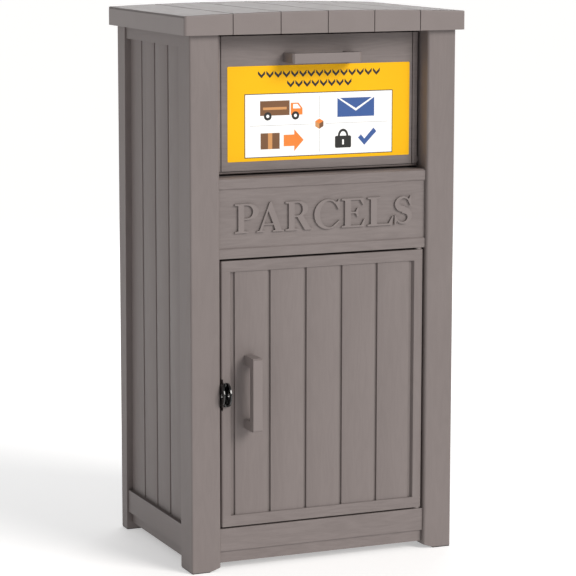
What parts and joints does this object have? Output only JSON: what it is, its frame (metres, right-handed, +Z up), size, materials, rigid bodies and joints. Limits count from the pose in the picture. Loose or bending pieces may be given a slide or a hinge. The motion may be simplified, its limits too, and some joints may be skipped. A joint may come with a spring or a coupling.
{
  "type": "parcel drop box",
  "caption": "Free-standing moulded-resin parcel drop box with a tilting drop door above and a side-hung retrieval door below, both with bar handles.",
  "frame": {"origin": "on the floor, under the middle of the whole box's bounding box, handles and lid included", "axes": "+X to the right seen from the front, +Y from the front to the back, +Z up; the doors face -Y"},
  "size_m": [0.61, 0.4779, 1.1257],
  "materials": {
    "resin": "wood-grained moulded resin",
    "resin_inner": "plain moulded resin",
    "black_enamel": "gloss black",
    "bush_plastic": "satin",
    "zinc_steel": "zinc plated",
    "label_vinyl": "printed vinyl",
    "pad_plastic": "plain"
  },
  "bodies": {
    "cabinet": {"front_post_left": "resin", "front_post_right": "resin", "rear_post_left": "resin", "rear_post_right": "resin", "side_panel_left": "resin", "side_panel_right": "resin", "back_panel": "resin", "lid": "resin", "letter_panel": "resin", "bottom_rail": "resin", "floor_panel": "resin_inner", "frame_lock_eye": "black_enamel", "drop_hinge_bush_left": "bush_plastic", "drop_hinge_bush_right": "bush_plastic", "door_hinge_bush_top": "bush_plastic", "door_hinge_bush_bottom": "bush_plastic", "frame_eye_screw_1": "zinc_steel", "frame_eye_screw_2": "zinc_steel", "foot_pad_front_left": "pad_plastic", "foot_pad_front_right": "pad_plastic", "foot_pad_rear_left": "pad_plastic", "foot_pad_rear_right": "pad_plastic"},
    "retrieval_door": {"door_panel": "resin", "door_handle": "resin", "door_lock_eye": "black_enamel", "door_pin_top": "zinc_steel", "door_pin_bottom": "zinc_steel", "door_handle_screw_1": "zinc_steel", "door_handle_screw_2": "zinc_steel", "door_eye_screw_1": "zinc_steel", "door_eye_screw_2": "zinc_steel"},
    "drop_door": {"drop_door_panel": "resin", "drop_door_handle": "resin", "drop_tray": "resin_inner", "tray_cheek_left": "resin_inner", "tray_cheek_right": "resin_inner", "drop_door_pin_left": "zinc_steel", "drop_door_pin_right": "zinc_steel", "drop_handle_screw_left": "zinc_steel", "drop_handle_screw_right": "zinc_steel", "label": "label_vinyl"}
  },
  "joints": [
    {"name": "retrieval_door_hinge", "type": "hinge", "parent": "cabinet", "child": "retrieval_door", "pos_m": [0.215, -0.1855, 0.36], "axis": [0, 0, 1], "range_deg": [0, 100]},
    {"name": "drop_door_hinge", "type": "hinge", "parent": "cabinet", "child": "drop_door", "pos_m": [0, -0.152, 0.815], "axis": [1, 0, 0], "range_deg": [0, 50]}
  ]
}
